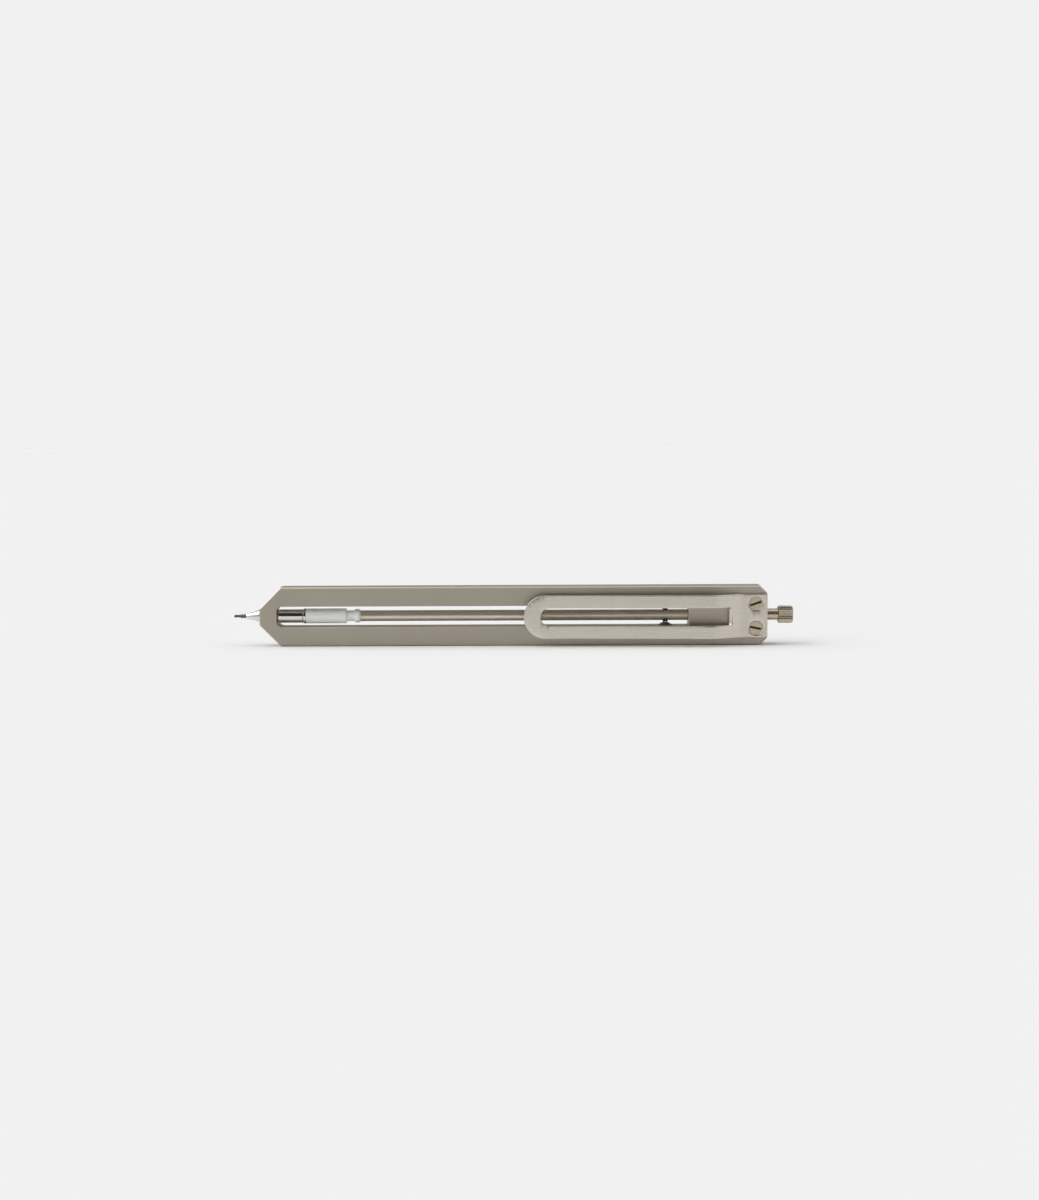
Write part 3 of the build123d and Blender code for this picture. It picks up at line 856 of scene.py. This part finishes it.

# Painted shade, with some old oil and dust: dark brown in the slots and round the heads, where shade falls
# and no cloth reaches.
slot_shade_and_grime, tree, shader = new_finish("slot_shade_and_grime", Metallic=0.4)
place = add_node(tree, "ShaderNodeTexCoord")
shade_and_dust_specks = add_node(
    tree, "ShaderNodeTexNoise", {"Scale": 1 / shade_and_grime_speck, "Detail": 3.0},
    {"Vector": place.outputs["Object"]},
)
tint = add_node(tree, "ShaderNodeMix", links={0: shade_and_dust_specks.outputs["Fac"]}, data_type="RGBA")
tint.inputs[6].default_value = colour("453e34")
tint.inputs[7].default_value = colour("696052")
dull = add_node(
    tree, "ShaderNodeMapRange", {"From Min": 0.3, "From Max": 0.7, "To Min": 0.45, "To Max": 0.65},
    {"Value": shade_and_dust_specks.outputs["Fac"]},
)
tree.links.new(tint.outputs[2], shader.inputs["Base Color"])
tree.links.new(dull.outputs["Result"], shader.inputs["Roughness"])
screws.data.materials.append(slot_shade_and_grime)
# Faces sunk below the heads' tops get the dark brown: painted shade in the recesses, with some dirt.
head_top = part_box("clip_screws")[0].y
for face in screws.data.polygons:
    if face.center.y > head_top + shade_and_grime_depth:
        face.material_index = 1

# ---------------------------------------------------------------------------------------------
# Studio: a floor of pale paper between two big soft lights, a strong one on the left and a weaker
# one on the right, with a small one overhead. The room is pale grey, and dimmer in front.
# ---------------------------------------------------------------------------------------------
paper_fibre = 1.5 * mm
floor_half = 6.0
room_dim = 0.32
backdrop_glow = 0.877

# Pale paper: matt and nearly white, with a fibre so faint that it shows only from close by.
paper, tree, shader = new_finish("pale_paper", Roughness=0.9)
shader.inputs["Specular IOR Level"].default_value = 0.0
place = add_node(tree, "ShaderNodeTexCoord")
fibre = add_node(
    tree, "ShaderNodeTexNoise", {"Scale": 1 / paper_fibre, "Detail": 3.0},
    {"Vector": place.outputs["Object"]},
)
tint = add_node(tree, "ShaderNodeMix", links={0: fibre.outputs["Fac"]}, data_type="RGBA")
tint.inputs[6].default_value = colour("f0f0f0")
tint.inputs[7].default_value = colour("f1f1f1")
tree.links.new(tint.outputs[2], shader.inputs["Base Color"])
sheet = bmesh.new()
bmesh.ops.create_grid(sheet, x_segments=2, y_segments=2, size=floor_half)
floor_mesh = bpy.data.meshes.new("floor")
sheet.to_mesh(floor_mesh)
sheet.free()
floor_mesh.materials.append(paper)
floor = bpy.data.objects.new("floor", floor_mesh)
bpy.context.scene.collection.objects.link(floor)

# Each light is a soft round patch: its direction, its inner and outer half angle and its strength.
# The last one is negative, because it is the dimmer room in front.
patches = (
    ((-1.00, -0.15, 0.95), 22, 42, 2.35),
    ((1.00, -0.05, 1.15), 20, 40, 0.9),
    ((0.00, 0.15, 1.00), 14, 32, 0.45),
    ((0.00, -1.00, 0.30), 30, 62, -0.29),
)
world = bpy.data.worlds.new("studio")
bpy.context.scene.world = world
world.use_nodes = True
tree = world.node_tree
tree.nodes.clear()
place = add_node(tree, "ShaderNodeTexCoord")

# The patches are added up, one after another, on top of the room's own pale grey.
total = None
for direction, inner, outer, strength in patches:
    facing = add_node(
        tree, "ShaderNodeVectorMath", {1: Vector(direction).normalized()}, {0: place.outputs["Generated"]},
        operation="DOT_PRODUCT",
    )
    glow = add_node(
        tree, "ShaderNodeMapRange",
        {"From Min": cos(radians(outer)), "From Max": cos(radians(inner)), "To Min": 0.0, "To Max": strength},
        {"Value": facing.outputs["Value"]}, interpolation_type="SMOOTHSTEP",
    )
    if total is None:
        total = add_node(tree, "ShaderNodeMath", {1: room_dim}, {0: glow.outputs["Result"]}, operation="ADD")
    else:
        total = add_node(
            tree, "ShaderNodeMath", links={0: total.outputs[0], 1: glow.outputs["Result"]}, operation="ADD",
        )

# The lights shine on the holder, and the camera sees an even pale backdrop behind it.
light = add_node(tree, "ShaderNodeBackground", links={"Strength": total.outputs[0]})
light.inputs["Color"].default_value = (1.0, 1.0, 1.0, 1.0)
seen = add_node(tree, "ShaderNodeBackground", {"Strength": backdrop_glow})
seen.inputs["Color"].default_value = (1.0, 1.0, 1.0, 1.0)
ray = add_node(tree, "ShaderNodeLightPath")
both = add_node(
    tree, "ShaderNodeMixShader",
    links={0: ray.outputs["Is Camera Ray"], 1: light.outputs["Background"], 2: seen.outputs["Background"]},
)
add_node(tree, "ShaderNodeOutputWorld", links={"Surface": both.outputs["Shader"]})
bpy.context.scene.view_settings.view_transform = "Standard"

# ---------------------------------------------------------------------------------------------
# Camera: a little above the holder and nearly square to it, far enough for a calm perspective. It
# aims a few millimetres above the bore, so the holder sits a little below the middle.
# ---------------------------------------------------------------------------------------------
camera_lens = 52.7
camera_sensor = 36.0
camera_reach = 450 * mm
camera_rise = radians(5.5)
camera_turn = radians(1.0)
camera_roll = radians(-0.32)
aim_aside = 1.8 * mm
aim_above = 4.18 * mm
aim = Vector((aim_aside, bar_low.y, axis_z + aim_above))
back = Vector((sin(camera_turn) * cos(camera_rise), -cos(camera_turn) * cos(camera_rise), sin(camera_rise)))
lens_data = bpy.data.cameras.new("camera")
lens_data.lens = camera_lens
lens_data.sensor_width = camera_sensor
lens_data.clip_start = 0.01
lens_data.clip_end = 50.0
camera = bpy.data.objects.new("camera", lens_data)
camera.location = aim + back * camera_reach
looking = (-back).to_track_quat("-Z", "Y").to_matrix() @ Euler((0, 0, camera_roll)).to_matrix()
camera.rotation_euler = looking.to_euler()
bpy.context.scene.collection.objects.link(camera)
bpy.context.scene.camera = camera
